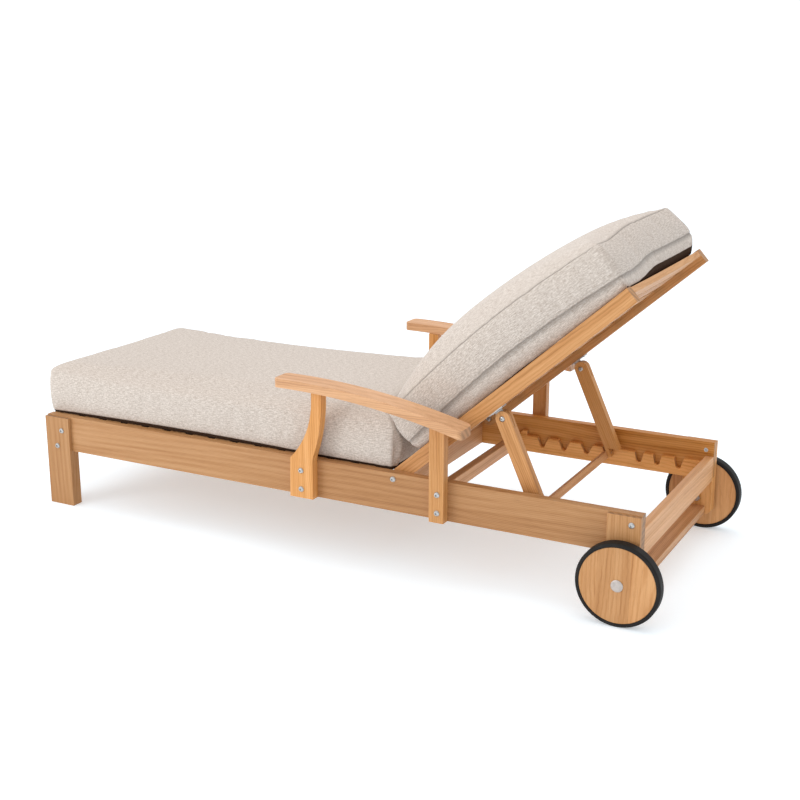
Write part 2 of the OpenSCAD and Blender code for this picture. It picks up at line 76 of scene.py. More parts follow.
# ---------------------------------------------------------------- node helpers
class Tree:
    """A material's node tree, with short calls to add nodes and join them."""

    def __init__(self, name):
        self.material = bpy.data.materials.new(name)
        self.material.use_nodes = True
        self.tree = self.material.node_tree
        self.tree.nodes.clear()
        self.shader = self.add("ShaderNodeBsdfPrincipled")
        out = self.add("ShaderNodeOutputMaterial")
        self.join(self.shader.outputs["BSDF"], out.inputs["Surface"])
        self.coord = self.add("ShaderNodeTexCoord")

    def add(self, kind, **values):
        node = self.tree.nodes.new(kind)
        for key, value in values.items():
            setattr(node, key, value)
        return node

    def join(self, a, b):
        self.tree.links.new(a, b)

    def put(self, value, socket):
        """A number, a tuple or another node's output goes into a socket."""
        if hasattr(value, "is_output"):
            self.join(value, socket)
        else:
            socket.default_value = value

    def math(self, op, a, b=0.0, c=0.0):
        node = self.add("ShaderNodeMath", operation=op)
        for value, socket in zip((a, b, c), node.inputs):
            self.put(value, socket)
        return node.outputs[0]

    def vector(self, op, a, b=(0, 0, 0)):
        node = self.add("ShaderNodeVectorMath", operation=op)
        self.put(a, node.inputs[0])
        self.put(b, node.inputs[3] if op == "SCALE" else node.inputs[1])
        return node.outputs[1] if op in ("DOT_PRODUCT", "LENGTH") else node.outputs[0]

    def place(self, vector, location=(0, 0, 0), rotation=(0, 0, 0), scale=(1, 1, 1)):
        node = self.add("ShaderNodeMapping")
        self.join(vector, node.inputs[0])
        node.inputs[1].default_value = location
        node.inputs[2].default_value = rotation
        node.inputs[3].default_value = scale
        return node.outputs[0]

    def noise(self, vector, scale=1.0, detail=2.0, rough=0.5):
        node = self.add("ShaderNodeTexNoise")
        self.join(vector, node.inputs["Vector"])
        node.inputs["Scale"].default_value = scale
        node.inputs["Detail"].default_value = detail
        node.inputs["Roughness"].default_value = rough
        return node.outputs

    def span(self, value, low, high, to_low=0.0, to_high=1.0):
        node = self.add("ShaderNodeMapRange")
        self.put(value, node.inputs[0])
        for i, number in enumerate((low, high, to_low, to_high)):
            node.inputs[i + 1].default_value = number
        return node.outputs[0]

    def ramp(self, value, stops):
        node = self.add("ShaderNodeValToRGB")
        self.put(value, node.inputs[0])
        elements = node.color_ramp.elements
        while len(elements) < len(stops):
            elements.new(0.5)
        for element, (place, colour) in zip(elements, stops):
            element.position = place
            element.color = (*colour, 1)
        return node.outputs[0]

    def mix(self, factor, a, b, blend="MIX"):
        node = self.add("ShaderNodeMix", data_type="RGBA", blend_type=blend)
        self.put(factor, node.inputs[0])
        for value, socket in ((a, node.inputs[6]), (b, node.inputs[7])):
            self.put((*value, 1) if isinstance(value, tuple) else value, socket)
        return node.outputs[2]

    def bump(self, height, distance, strength=1.0):
        node = self.add("ShaderNodeBump")
        node.inputs["Strength"].default_value = strength
        node.inputs["Distance"].default_value = distance
        self.put(height, node.inputs["Height"])
        self.join(node.outputs[0], self.shader.inputs["Normal"])

    def set(self, **values):
        for key, value in values.items():
            self.put(value, self.shader.inputs[key.replace("_", " ")])


# ---------------------------------------------------------------- materials
ALONG_X = (0, 0, 0)
ALONG_Y = (0, 0, math.pi / 2)
ALONG_Z = (0, math.pi / 2, 0)
ALONG_BACK = (0, BACK_ANGLE, 0)
ALONG_PROP = (0, PROP_ANGLE, 0)

TEAK_DARK = (0.33, 0.142, 0.052)
TEAK_MID = (0.50, 0.248, 0.104)
TEAK_LIGHT = (0.61, 0.335, 0.160)
TEAK_PORE = (0.20, 0.085, 0.035)
TEAK_END = (0.50, 0.27, 0.135)


def ring_wave(t, vector, centre, tilt, scale, distortion, detail_scale):
    """Growth rings round an axis that runs almost along the board; tilt is in degrees."""
    wave = t.add("ShaderNodeTexWave", wave_type="RINGS", rings_direction="X")
    turn = (0, math.radians(tilt[0]), math.radians(tilt[1]))
    t.join(t.place(vector, location=centre, rotation=turn), wave.inputs["Vector"])
    wave.inputs["Scale"].default_value = scale
    wave.inputs["Distortion"].default_value = distortion
    wave.inputs["Detail"].default_value = 2.0
    wave.inputs["Detail Scale"].default_value = detail_scale
    return wave.outputs["Fac"]


def teak(name, grain, seed, tone=1.0, warm=0.0, board=None):
    """Oiled teak. grain turns the piece so that its grain runs along X; board, where a
    node holds several boards, is (axis, first edge, pitch) or (axis, [edges])."""
    t = Tree(name)
    place = t.coord.outputs["Object"]
    lift = None
    if board:
        split = t.add("ShaderNodeSeparateXYZ")
        t.join(place, split.inputs[0])
        axis = split.outputs["XYZ".index(board[0])]
        if isinstance(board[1], list):
            index = 0.0
            for edge in board[1]:
                index = t.math("ADD", index, t.math("GREATER_THAN", axis, edge))
        else:
            past_edge = t.math("SUBTRACT", axis, board[1])
            index = t.math("FLOOR", t.math("DIVIDE", past_edge, board[2]))
        pick = t.add("ShaderNodeTexWhiteNoise", noise_dimensions="1D")
        t.join(t.math("ADD", index, seed + 0.37), pick.inputs["W"])
        lift = t.span(pick.outputs["Value"], 0, 1, 0.86, 1.1)
        place = t.vector("ADD", place, pick.outputs["Color"])
    # Each seed takes its board from another place in the same endless log
    wood = t.place(place, location=(seed * 0.731, seed * 0.113, seed * 0.067), rotation=grain)

    wander = t.noise(t.place(wood, scale=(1.1, 7, 7)), detail=1.5)["Color"]
    wander = t.vector("MULTIPLY", t.vector("SUBTRACT", wander, (0.5, 0.5, 0.5)), (0, 0.05, 0.05))
    bent = t.vector("ADD", wood, wander)
    rings = ring_wave(t, bent, (0, 0.09, 0.13), (1.3, 0.9), 17, 1.2, 0.7)
    # Narrow dark lines of late wood, about 4 mm apart
    late = t.math("POWER", ring_wave(t, bent, (0, 0.31, 0.22), (0.8, 0.5), 74, 2.0, 0.5), 3.0)
    streaks = t.noise(t.place(bent, scale=(2.2, 95, 95)), detail=3, rough=0.6)["Fac"]
    fibres = t.noise(t.place(wood, scale=(9, 520, 520)), detail=3, rough=0.65)["Fac"]
    patches = t.noise(t.place(wood, scale=(0.9, 6, 6)), detail=1)["Fac"]
    pores = t.noise(t.place(wood, scale=(28, 1500, 1500)), detail=1.5)["Fac"]

    mixed = t.math("MULTIPLY_ADD", rings, 0.09, t.math("MULTIPLY", late, -0.105))
    mixed = t.math("MULTIPLY_ADD", streaks, 0.34, mixed)
    mixed = t.math("MULTIPLY_ADD", fibres, 0.30, mixed)
    mixed = t.math("MULTIPLY_ADD", patches, 0.36, mixed)
    colour = t.ramp(mixed, [(0.29, TEAK_DARK), (0.46, TEAK_MID), (0.65, TEAK_LIGHT)])
    pore = t.span(pores, 0.60, 0.74, 0.0, 0.38)
    colour = t.mix(pore, colour, TEAK_PORE)

    # End grain, on the faces that look along the grain
    grain_axis = Euler(grain).to_matrix().inverted() @ Vector((1, 0, 0))
    facing = t.vector("DOT_PRODUCT", t.coord.outputs["Normal"], tuple(grain_axis))
    end = t.span(t.math("ABSOLUTE", facing), 0.72, 0.92, 0.0, 1.0)
    end_rings = t.span(rings, 0, 1, 0.62, 0.92)
    grey_rings = t.ramp(end_rings, [(0, (0, 0, 0)), (1, (1, 1, 1))])
    ending = t.mix(1.0, TEAK_END, grey_rings, blend="MULTIPLY")
    colour = t.mix(end, colour, ending)

    shade = t.add("ShaderNodeHueSaturation")
    t.join(colour, shade.inputs["Color"])
    shade.inputs["Saturation"].default_value = 1.0 + warm
    if lift is None:
        shade.inputs["Value"].default_value = tone
    else:
        t.join(t.math("MULTIPLY", lift, tone), shade.inputs["Value"])
    t.set(Base_Color=shade.outputs[0], Roughness=t.span(streaks, 0.3, 0.7, 0.58, 0.44))
    t.shader.inputs["Specular IOR Level"].default_value = 0.38
    height = t.math("MULTIPLY_ADD", fibres, 0.6, t.math("MULTIPLY", pores, -0.5))
    t.bump(height, 0.00035, 0.55)
    return t.material


def steel(name, colour=(0.52, 0.51, 0.50), rough=0.26):
    """Stainless steel, turned and lightly brushed."""
    t = Tree(name)
    streak = t.noise(t.place(t.coord.outputs["Object"], scale=(900, 60, 900)), detail=2)["Fac"]
    marks = t.noise(t.coord.outputs["Object"], scale=120, detail=3)["Fac"]
    t.set(Base_Color=t.mix(t.span(marks, 0.35, 0.7), colour, tuple(c * 0.84 for c in colour)),
          Metallic=1.0, Roughness=t.span(streak, 0.3, 0.7, rough - 0.06, rough + 0.12))
    t.bump(streak, 0.0001, 0.3)
    return t.material


def rubber(name):
    """Black tyre rubber with a dusty bloom."""
    t = Tree(name)
    dust = t.noise(t.coord.outputs["Object"], scale=34, detail=4, rough=0.6)["Fac"]
    fine = t.noise(t.coord.outputs["Object"], scale=900, detail=2)["Fac"]
    black, bloom = (0.011, 0.0095, 0.009), (0.034, 0.029, 0.026)
    t.set(Base_Color=t.mix(t.span(dust, 0.45, 0.75, 0, 0.5), black, bloom),
          Roughness=t.span(dust, 0.3, 0.7, 0.52, 0.70))
    t.shader.inputs["Specular IOR Level"].default_value = 0.2
    t.bump(fine, 0.0002, 0.35)
    return t.material


def heather(name, light, dark, yarn=0.0016, shade_seams=True, sheen=0.18):
    """Woven heathered canvas: thick slubby yarns both ways, with painted shade at the seams. Its UV and
    yarn are in metres."""
    t = Tree(name)
    uv = t.add("ShaderNodeUVMap", uv_map="weave").outputs[0]
    warp = t.add("ShaderNodeTexWave", wave_type="BANDS", bands_direction="Y")
    weft = t.add("ShaderNodeTexWave", wave_type="BANDS", bands_direction="X")
    for wave in (warp, weft):
        t.join(uv, wave.inputs["Vector"])
        wave.inputs["Scale"].default_value = 0.157 / yarn
        wave.inputs["Distortion"].default_value = 1.5
        wave.inputs["Detail"].default_value = 2
        wave.inputs["Detail Scale"].default_value = 0.4
    long_slub = t.noise(t.place(uv, scale=(58, 400, 1)), detail=3, rough=0.66)["Fac"]
    crossways = t.place(uv, location=(3, 7, 0), scale=(330, 110, 1))
    cross_slub = t.noise(crossways, detail=3, rough=0.66)["Fac"]
    flecks = t.place(uv, location=(9, 2, 0), scale=(170, 380, 1))
    fleck = t.noise(flecks, detail=2, rough=0.72)["Fac"]
    cloud = t.noise(t.place(uv, scale=(5, 5, 1)), detail=2)["Fac"]
    weave = t.math("MULTIPLY_ADD", long_slub, 0.46, t.math("MULTIPLY", cross_slub, 0.18))
    weave = t.math("MULTIPLY_ADD", fleck, 0.36, weave)
    middle = tuple((a + b) / 2 for a, b in zip(light, dark))
    colour = t.ramp(weave, [(0.38, dark), (0.49, middle), (0.57, light)])
    colour = t.mix(t.span(cloud, 0.3, 0.7, 0, 0.05), colour, dark)
    if shade_seams:
        # Painted shade in the seams' creases, read from the seam attribute
        seam = t.add("ShaderNodeAttribute", attribute_name="seam").outputs["Fac"]
        colour = t.mix(t.math("MULTIPLY", seam, 0.75), colour, tuple(c * 0.28 for c in dark))
    t.set(Base_Color=colour, Roughness=t.span(weave, 0.3, 0.7, 0.92, 0.82))
    t.shader.inputs["Specular IOR Level"].default_value = sheen * 0.9
    t.shader.inputs["Sheen Weight"].default_value = sheen
    t.shader.inputs["Sheen Roughness"].default_value = 0.55
    threads = t.math("MULTIPLY", weft.outputs["Fac"], 0.25)
    threads = t.math("MULTIPLY_ADD", warp.outputs["Fac"], 0.25, threads)
    t.bump(t.math("ADD", threads, t.math("MULTIPLY", weave, 1.1)), 0.0006, 0.75)
    return t.material


# ---------------------------------------------------------------- studio
CAMERA_AT = (1.9220, -3.5429, 1.5484)
CAMERA_DOWN, CAMERA_TURN = 16.025, 27.729  # degrees
LENS_MM, SENSOR_MM, SHIFT = 60.60, 36, 0.0015
FLOOR_REACH = 14.0
SKY_FOOT_END, SKY_HEAD_END = 1.20, 0.78


def build_studio():
    world = bpy.data.worlds.new("studio")
    scene.world = world
    world.use_nodes = True
    background = world.node_tree.nodes["Background"]
    background.inputs[0].default_value = (1, 1, 1, 1)
    # A soft white light from all round, stronger from the foot end
    tree = world.node_tree
    coord = tree.nodes.new("ShaderNodeTexCoord")
    split = tree.nodes.new("ShaderNodeSeparateXYZ")
    fade = tree.nodes.new("ShaderNodeMapRange")
    tree.links.new(coord.outputs["Generated"], split.inputs[0])
    tree.links.new(split.outputs["X"], fade.inputs["Value"])
    for i, number in enumerate((-0.9, 0.9, SKY_FOOT_END, SKY_HEAD_END)):
        fade.inputs[i + 1].default_value = number
    tree.links.new(fade.outputs[0], background.inputs[1])
    scene.view_settings.view_transform = "Standard"
    scene.view_settings.look = "None"

    mesh = bpy.data.meshes.new("floor")
    corners = [(x * FLOOR_REACH, y * FLOOR_REACH, 0) for x, y in ((-1, -1), (1, -1), (1, 1), (-1, 1))]
    mesh.from_pydata(corners, [], [(0, 1, 2, 3)])
    floor = bpy.data.objects.new("floor", mesh)
    scene.collection.objects.link(floor)
    t = Tree("pale_floor")
    t.set(Base_Color=(0.74, 0.82, 0.88, 1), Roughness=0.9)
    t.shader.inputs["Specular IOR Level"].default_value = 0.1
    t.shader.inputs["Emission Color"].default_value = (1, 1, 1, 1)
    t.shader.inputs["Emission Strength"].default_value = 0.36
    mesh.materials.append(t.material)

    def area(name, where, target, size, watts):
        light = bpy.data.lights.new(name, "AREA")
        light.shape = "DISK"
        light.size = size
        light.energy = watts
        lamp = bpy.data.objects.new(name, light)
        scene.collection.objects.link(lamp)
        lamp.location = where
        lamp.rotation_euler = (Vector(target) - Vector(where)).to_track_quat("-Z", "Y").to_euler()

    # A key light low on the left, towards the foot end, and a broad one overhead
    area("key", (-2.6, -3.6, 1.7), (0, 0, 0.35), 2.4, 52)
    area("top", (0.3, 0.2, 4.2), (0.4, 0, 0), 3.0, 34)

    camera = bpy.data.cameras.new("camera")
    camera.lens = LENS_MM
    camera.sensor_width = SENSOR_MM
    camera.shift_x = SHIFT
    eye = bpy.data.objects.new("camera", camera)
    scene.collection.objects.link(eye)
    eye.location = CAMERA_AT
    eye.rotation_euler = (math.radians(90 - CAMERA_DOWN), 0, math.radians(CAMERA_TURN))
    scene.camera = eye


# ---------------------------------------------------------------- timber and metal
def soften(node, width, segments=2):
    """Eased edges on a sharp-edged CAD piece, by modifiers alone."""
    weld = node.modifiers.new("weld", "WELD")
    weld.merge_threshold = 0.00002
    flat = node.modifiers.new("flat", "DECIMATE")
    flat.decimate_type = "DISSOLVE"
    flat.angle_limit = math.radians(0.15)
    bevel = node.modifiers.new("ease", "BEVEL")
    bevel.width = width
    bevel.segments = segments
    bevel.limit_method = "ANGLE"
    bevel.angle_limit = math.radians(32)
    bevel.use_clamp_overlap = True
    bevel.miter_outer = "MITER_ARC"
    normal = node.modifiers.new("normal", "WEIGHTED_NORMAL")
    normal.keep_sharp = False
    normal.weight = 80
    node.data.shade_smooth()


def paint(node, material):
    node.data.materials.clear()
    node.data.materials.append(material)


# How far the edges are eased, in metres
EASED, EASED_SLAT, EASED_ARM, EASED_DISC, EASED_TYRE = 0.0022, 0.003, 0.0065, 0.002, 0.0015
EASED_METAL = 0.0006

# Boards that come in pairs: grain, tone, added saturation
PAIRED_BOARDS = {
    "side_rail": (ALONG_X, 0.80, 0.05), "foot_leg": (ALONG_Z, 0.75, 0.07),
    "wheel_leg": (ALONG_Z, 0.92, 0.06), "seat_ledger": (ALONG_X, 0.88, 0.04),
    "rack": (ALONG_X, 1.14, 0.08), "arm_front_post": (ALONG_Z, 1.22, 0.12),
    "arm_rear_post": (ALONG_Z, 1.0, 0.10), "armrest": (ALONG_X, 1.17, -0.06),
    "back_stile": (ALONG_BACK, 1.03, 0.08), "prop_arm": (ALONG_PROP, 1.08, 0.08),
}
# Boards across the frame, with their grain along Y: tone
CROSS_BOARDS = {
    "foot_rail": 0.97, "head_rail": 1.18, "wheel_stretcher": 1.06,
    "seat_end_rail": 1.12, "rack_end_rail": 1.15, "prop_bar": 1.12,
}
# Painted light on the boards of the right side, which stands for the warm bounce light in their shade:
# how much lighter, how much more saturated
FAR_SIDE_PAINTED_LIGHT = {
    "side_rail": (1.40, 0.12), "rack": (1.16, 0.06),
    "wheel_leg": (1.26, 0.04), "prop_arm": (0.95, 0.06),
}


def finish_timber():
    seed = 1
    for stem, (grain, tone, warm) in PAIRED_BOARDS.items():
        for side in ("left", "right"):
            node = nodes[f"{stem}_{side}"]
            # Painted light: the right side's boards are lifted and warmed to stand for the bounce light
            # in their shade
            painted_lift, painted_warmth = FAR_SIDE_PAINTED_LIGHT.get(stem, (1, 0)) if side == "right" else (1, 0)
            paint(node, teak(f"teak_{stem}_{side}", grain, seed, tone * painted_lift, warm + painted_warmth))
            if stem == "armrest":
                soften(node, EASED_ARM, 4)
            else:
                soften(node, EASED)
            seed += 1
    for name, tone in CROSS_BOARDS.items():
        paint(nodes[name], teak(f"teak_{name}", ALONG_Y, seed, tone))
        soften(nodes[name], EASED)
        seed += 1
    paint(nodes["crest_rail"], teak("teak_crest_rail", ALONG_Y, seed, 1.05, 0.05))
    soften(nodes["crest_rail"], EASED_SLAT)
    seat_boards = ("X", FOOT_X + SLAT_FIRST - 0.012, SLAT_STEP)
    back_boards = ("Z", PIVOT.z + 0.05, 0.0525)
    paint(nodes["seat_slat_set"], teak("teak_seat_slats", ALONG_Y, 41, 1.0, board=seat_boards))
    soften(nodes["seat_slat_set"], EASED_SLAT)
    paint(nodes["back_slat_set"], teak("teak_back_slats", ALONG_Y, 57, 1.02, board=back_boards))
    soften(nodes["back_slat_set"], EASED_SLAT)
    for side in ("left", "right"):
        node = nodes[f"wheel_disc_{side}"]
        centre = AXLE.x - node.matrix_world.translation.x
        glue_lines = [centre - 0.057, centre + 0.035]
        seed = 63 if side == "left" else 71
        boards = ("X", glue_lines)
        paint(node, teak(f"teak_disc_{side}", ALONG_Z, seed, 1.0, 0.06, board=boards))
        soften(node, EASED_DISC)


def finish_metal():
    bright = steel("stainless_heads")
    dull = steel("stainless_plate", (0.58, 0.57, 0.56), 0.36)
    cap = steel("hub_cap_metal", (0.56, 0.50, 0.46), 0.46)
    for name, node in nodes.items():
        if "bolt" in name or "screw" in name or "nuts" in name or "spacer" in name:
            paint(node, bright)
            soften(node, EASED_METAL)
        if "hinge_plate" in name or "hub_bush" in name:
            paint(node, dull)
            soften(node, EASED_METAL)
        if "hub_cap" in name:
            paint(node, cap)
            soften(node, EASED_METAL)
        if "tyre" in name:
            paint(node, rubber(f"rubber_{name}"))
            soften(node, EASED_TYRE)


# ---------------------------------------------------------------- cushions
# Steps of the cushions' meshes next to a seam, and away from the seams
PITCH = 0.0075
FINE = [0, 0.0014, 0.003, 0.005, 0.0078, 0.0112, 0.0158, 0.0215]


def spread(length, pitch):
    """Places from 0 to length, close together at both ends where the seams are."""
    inner = length / 2 - FINE[-1]
    count = max(1, math.ceil(inner / pitch))
    half = FINE + [FINE[-1] + inner * (k + 1) / count for k in range(count)]
    return np.array(half + [length - x for x in reversed(half[:-1])])


def edge_rise(distance, radius):
    """A quarter round: 0 at the edge, 1 from radius inwards."""
    return np.sqrt(np.clip(1 - (1 - np.clip(distance / radius, 0, 1)) ** 2, 0, 1))


# Cloth taken up by the top panel's rounding next to its seam, and that rounding's radius
TOP_ROLL, TOP_RADIUS = 0.030, 0.040
SEAM_WIDTH, SEAM_SHADE_WIDTH = 0.0025, 0.0014


class Cushion:
    """A box cushion: a top and a base panel sewn to a boxing strip, drawn flat and then placed.

    size is (start, end, half width) in its own axes, and corner the corner radius at each end.
    pull is how far its sides draw in between the corners, skew how far its start draws in on
    the right. top, base, upper and lower give the heights of the two panels and of the two
    seams at a place; bulge is how far the boxing swells."""

    def __init__(self, name, size, corner, pull, upper, lower, top, base, bulge, matrix, skew=0):
        self.name, self.matrix = name, matrix
        a0, a1, half = size
        along = spread(a1 - a0, PITCH)
        across = spread(2 * half, PITCH)
        x, y = np.meshgrid(along - (a1 - a0) / 2, across - half, indexing="ij")
        hl = (a1 - a0) / 2
        from_end = hl - np.abs(x)
        from_side = half - np.abs(y)
        u, v = x / hl, y / half
        self.gaps = np.stack([x + hl, hl - x, from_side], -1).reshape(-1, 3)
        px, py = self.round_corners(x, y, hl, half, corner)
        px = px - np.sign(x) * pull * np.abs(u) ** 3 * (1 - v**2)
        py = py - np.sign(y) * pull * np.abs(v) ** 3 * (1 - u**2)
        px = px + skew * np.clip(-u, 0, 1) ** 2 * (1 + v) / 2
        a = px + (a0 + a1) / 2
        upper_h, lower_h = upper(a, py), lower(a, py)
        top_h = top(a, py, u, v, from_end, from_side, upper_h)
        base_h = base(a, py, u, v, from_end, from_side, lower_h)
        na, nb = a.shape
        self.top = np.stack([a, py, top_h], -1)
        self.base = np.stack([a, py, base_h], -1)
        ring = [(i, 0) for i in range(na)] + [(na - 1, j) for j in range(1, nb)]
        ring += [(i, nb - 1) for i in range(na - 2, -1, -1)]
        ring += [(0, j) for j in range(nb - 2, 0, -1)]
        self.ring = np.array(ring)
        rim_top = self.top[self.ring[:, 0], self.ring[:, 1]]
        rim_base = self.base[self.ring[:, 0], self.ring[:, 1]]
        tangent = np.roll(rim_top, -1, 0)[:, :2] - np.roll(rim_top, 1, 0)[:, :2]
        outward = np.stack([tangent[:, 1], -tangent[:, 0]], -1)
        outward /= np.linalg.norm(outward, axis=1)[:, None]
        for _ in range(3):
            outward = (outward + np.roll(outward, 1, 0) + np.roll(outward, -1, 0)) / 3
        self.rows = spread(np.median(rim_top[:, 2] - rim_base[:, 2]), PITCH)
        self.rows /= self.rows[-1]
        boxing = []
        for t in self.rows[1:-1]:
            row = rim_top + (rim_base - rim_top) * t
            row[:, :2] += outward * bulge(t, row)[:, None]
            boxing.append(row)
        self.boxing = np.array(boxing)
        self.build()

    @staticmethod
    def round_corners(x, y, hl, half, radius):
        """Draws the corners of a rectangular grid in to quarter rounds."""
        radius = np.where(x < 0, radius[0], radius[1])
        dx, dy = np.abs(x) - (hl - radius), np.abs(y) - (half - radius)
        corner = (dx > 0) & (dy > 0)
        reach = np.hypot(dx, dy)
        factor = np.where(corner, np.maximum(dx, dy) / np.where(reach > 0, reach, 1), 1)
        px = np.where(corner, np.sign(x) * (hl - radius + dx * factor), x)
        py = np.where(corner, np.sign(y) * (half - radius + dy * factor), y)
        return px, py

    def build(self):
        """Makes the mesh, with a UV in metres. kinds is 0 top, 1 boxing and 2 base."""
        na, nb = self.top.shape[:2]
        grid = np.arange(na * nb).reshape(na, nb)
        count = na * nb
        rim = grid[self.ring[:, 0], self.ring[:, 1]]
        rows = [rim]
        for k in range(len(self.boxing)):
            rows.append(2 * count + k * len(rim) + np.arange(len(rim)))
        rows.append(count + rim)
        self.row_index = np.array(rows)
        faces, uvs, kinds = [], [], []
        a, b = self.top[:, :, 0], self.top[:, :, 1]
        drop = self.base[0, 0, 2] - self.base[:, :, 2]
        from_side = self.gaps[:, 2].reshape(na, nb)
        from_end = np.minimum(self.gaps[:, 0], self.gaps[:, 1]).reshape(na, nb)
        sideways = from_side < from_end
        mid = (a.min() + a.max()) / 2
        base_u = a - np.sign(a - mid) * np.where(sideways, 0, drop)
        base_v = b - np.sign(b) * np.where(sideways, drop, 0) + 3
        top_u = a + np.sign(a - mid) * TOP_ROLL * (1 - edge_rise(from_end, TOP_RADIUS))
        top_v = b + np.sign(b) * TOP_ROLL * (1 - edge_rise(from_side, TOP_RADIUS))
        for i in range(na - 1):
            for j in range(nb - 1):
                quad = [(i, j), (i + 1, j), (i + 1, j + 1), (i, j + 1)]
                faces.append([grid[q] for q in quad])
                uvs += [(top_u[q], top_v[q]) for q in quad]
                kinds.append(0)
                quad.reverse()
                faces.append([count + grid[q] for q in quad])
                uvs += [(base_u[q], base_v[q]) for q in quad]
                kinds.append(2)
        rim_points = self.top[self.ring[:, 0], self.ring[:, 1]]
        step = np.linalg.norm(np.roll(rim_points, -1, 0) - rim_points, axis=1)
        s = np.concatenate([[0], np.cumsum(step)])
        depth = (self.top[0, 0, 2] - self.base[0, 0, 2]) * self.rows
        for k in range(len(rows) - 1):
            for m in range(len(rim)):
                n = (m + 1) % len(rim)
                faces.append([rows[k][m], rows[k + 1][m], rows[k + 1][n], rows[k][n]])
                high, low = 5 - depth[k], 5 - depth[k + 1]
                uvs += [(s[m], high), (s[m], low), (s[m + 1], low), (s[m + 1], high)]
                kinds.append(1)
        parts = (self.top, self.base, self.boxing)
        self.points = np.concatenate([part.reshape(-1, 3) for part in parts])
        mesh = bpy.data.meshes.new(self.name)
        mesh.from_pydata(self.points.tolist(), [], [list(map(int, f)) for f in faces])
        layer = mesh.uv_layers.new(name="weave")
        layer.data.foreach_set("uv", np.array(uvs, np.float32).ravel())
        mesh.shade_smooth()
        self.kinds = np.array(kinds)
        self.object = bpy.data.objects.new(self.name, mesh)
        scene.collection.objects.link(self.object)
        self.measure()

    def measure(self):
        """Distances along the cloth from the upper and the lower seam, for each point."""
        na, nb = self.top.shape[:2]
        count = na * nb
        self.from_upper = np.full(len(self.points), 9.0)
        self.from_lower = np.full(len(self.points), 9.0)
        for start, store in ((0, self.from_upper), (count, self.from_lower)):
            grid = self.points[start:start + count].reshape(na, nb, 3)
            edges = (grid[[0]], grid[[-1]], grid[:, [0]], grid[:, [-1]])
            reach = [np.linalg.norm(grid - edge, axis=2) for edge in edges]
            store[start:start + count] = np.min(reach, axis=0).ravel()
        rows = self.points[self.row_index]
        up = np.linalg.norm(rows - rows[[0]], axis=2)
        down = np.linalg.norm(rows - rows[[-1]], axis=2)
        for k, row in enumerate(self.row_index):
            self.from_upper[row] = np.minimum(self.from_upper[row], up[k])
            self.from_lower[row] = np.minimum(self.from_lower[row], down[k])

    def write(self):
        self.object.data.vertices.foreach_set("co", self.points.astype(np.float32).ravel())
        self.object.data.update()

    def normals(self):
        self.write()
        found = np.zeros(len(self.points) * 3, np.float32)
        self.object.data.vertex_normals.foreach_get("vector", found)
        return found.reshape(-1, 3)

    def puff(self, pressure, cap, slack, hold, voxel=0.009, frames=20):
        """Fills the cover by cloth simulation on a remeshed copy, then carries the swelling over.

        No point moves further than cap. slack is the share by which the cloth is cut larger,
        and hold(points) gives each place's pin, from 0, free, to 1, fixed."""
        shell = bpy.data.objects.new("puffing", self.object.data.copy())
        scene.collection.objects.link(shell)
        remesh = shell.modifiers.new("remesh", "REMESH")
        remesh.mode = "VOXEL"
        remesh.voxel_size = voxel
        graph = bpy.context.evaluated_depsgraph_get()
        even = bpy.data.meshes.new_from_object(shell.evaluated_get(graph))
        shell.modifiers.clear()
        shell.data = even
        before = points_of(even)
        pins = shell.vertex_groups.new(name="pins")
        weights = hold(before)
        for level in np.unique(np.round(weights, 1)):
            if level > 0:
                chosen = np.nonzero(np.round(weights, 1) == level)[0]
                pins.add([int(i) for i in chosen], float(level), "REPLACE")
        cloth = shell.modifiers.new("cloth", "CLOTH")
        s = cloth.settings
        s.quality = 5
        s.mass = 0.3
        s.tension_stiffness = s.compression_stiffness = 15
        s.shear_stiffness = 5
        s.bending_stiffness = 0.6
        s.use_pressure = True
        s.uniform_pressure_force = pressure
        s.effector_weights.gravity = 0
        s.vertex_group_mass = "pins"
        s.pin_stiffness = 1.0
        s.shrink_min = -slack
        cloth.point_cache.frame_start = 1
        cloth.point_cache.frame_end = frames
        for k in range(1, frames + 1):
            scene.frame_set(k)
        graph = bpy.context.evaluated_depsgraph_get()
        after = points_of(shell.evaluated_get(graph).data)
        move = after - before
        reach = np.linalg.norm(move, axis=1)
        print(self.name, "puffed", len(before), "points, most", round(float(reach.max()) * 1000, 1), "mm")
        move *= np.minimum(1, cap / np.maximum(reach, 1e-9))[:, None]
        tree = KDTree(len(before))
        for i, p in enumerate(before):
            tree.insert(p, i)
        tree.balance()
        shift = np.zeros_like(self.points)
        for i, p in enumerate(self.points):
            near = tree.find_n(p, 18)
            w = np.array([1 / (d + 0.009) ** 2 for _, _, d in near])
            shift[i] = (w[:, None] * move[[n for _, n, _ in near]]).sum(0) / w.sum()
        self.points = self.points + shift
        bpy.data.objects.remove(shell)
        scene.frame_set(1)

    def sew(self, upper, lower, lines=()):
        """Draws the cloth in along the seams. upper and lower are (depth, darkness), and each line
        is (distance from each point, depth, darkness); the darkness is painted shade in the seam's
        crease."""
        inward = np.zeros(len(self.points))
        dark = np.zeros(len(self.points))
        seams = [(self.from_upper, *upper), (self.from_lower, *lower), *lines]
        for reach, depth, shade in seams:
            inward += depth * np.exp(-((reach / SEAM_WIDTH) ** 2))
            dark = np.maximum(dark, shade * np.exp(-((reach / SEAM_SHADE_WIDTH) ** 2)))
        self.points = self.points - self.normals() * inward[:, None]
        self.dark = dark

